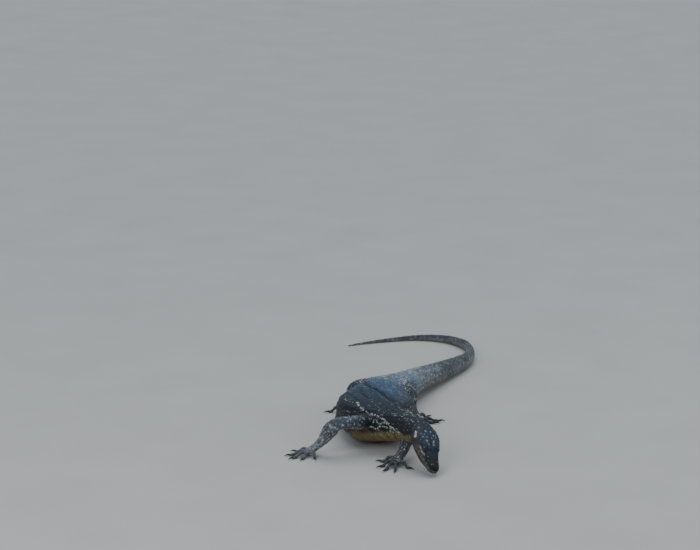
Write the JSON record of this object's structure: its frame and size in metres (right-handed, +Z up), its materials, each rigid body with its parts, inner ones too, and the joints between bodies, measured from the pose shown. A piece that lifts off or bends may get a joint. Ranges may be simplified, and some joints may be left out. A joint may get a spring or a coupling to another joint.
{
  "type": "asian water monitor lizard",
  "caption": "Still, life-size model of a water monitor lizard on its feet, snout low over the ground, body arched to one side and tail swept round behind.",
  "frame": {"origin": "on the floor, under the middle of the bounding box", "axes": "+Z up, the snout towards -Y, the animal's left side +X"},
  "size_m": [0.3789, 0.9071, 0.0821],
  "materials": {
    "scaly_skin": "satin",
    "claw_horn": "satin",
    "wet_eye": "gloss"
  },
  "bodies": {
    "root": {"left_eye": "wet_eye", "left_upper_arm": "scaly_skin", "left_forearm": "scaly_skin", "left_hand": "scaly_skin", "left_thigh": "scaly_skin", "left_shank": "scaly_skin", "left_foot": "scaly_skin", "left_hand_claw_1": "claw_horn", "left_hand_claw_2": "claw_horn", "left_hand_claw_3": "claw_horn", "left_hand_claw_4": "claw_horn", "left_hand_claw_5": "claw_horn", "left_foot_claw_1": "claw_horn", "left_foot_claw_2": "claw_horn", "left_foot_claw_3": "claw_horn", "left_foot_claw_4": "claw_horn", "left_foot_claw_5": "claw_horn", "right_eye": "wet_eye", "right_upper_arm": "scaly_skin", "right_forearm": "scaly_skin", "right_hand": "scaly_skin", "right_thigh": "scaly_skin", "right_shank": "scaly_skin", "right_foot": "scaly_skin", "right_hand_claw_1": "claw_horn", "right_hand_claw_2": "claw_horn", "right_hand_claw_3": "claw_horn", "right_hand_claw_4": "claw_horn", "right_hand_claw_5": "claw_horn", "right_foot_claw_1": "claw_horn", "right_foot_claw_2": "claw_horn", "right_foot_claw_3": "claw_horn", "right_foot_claw_4": "claw_horn", "right_foot_claw_5": "claw_horn", "head": "scaly_skin", "lower_jaw": "scaly_skin", "neck": "scaly_skin", "trunk": "scaly_skin", "tail_root": "scaly_skin", "tail_middle": "scaly_skin", "tail_bend_near": "scaly_skin", "tail_bend_far": "scaly_skin", "tail_whip": "scaly_skin", "tail_tip": "scaly_skin"}
  },
  "joints": []
}
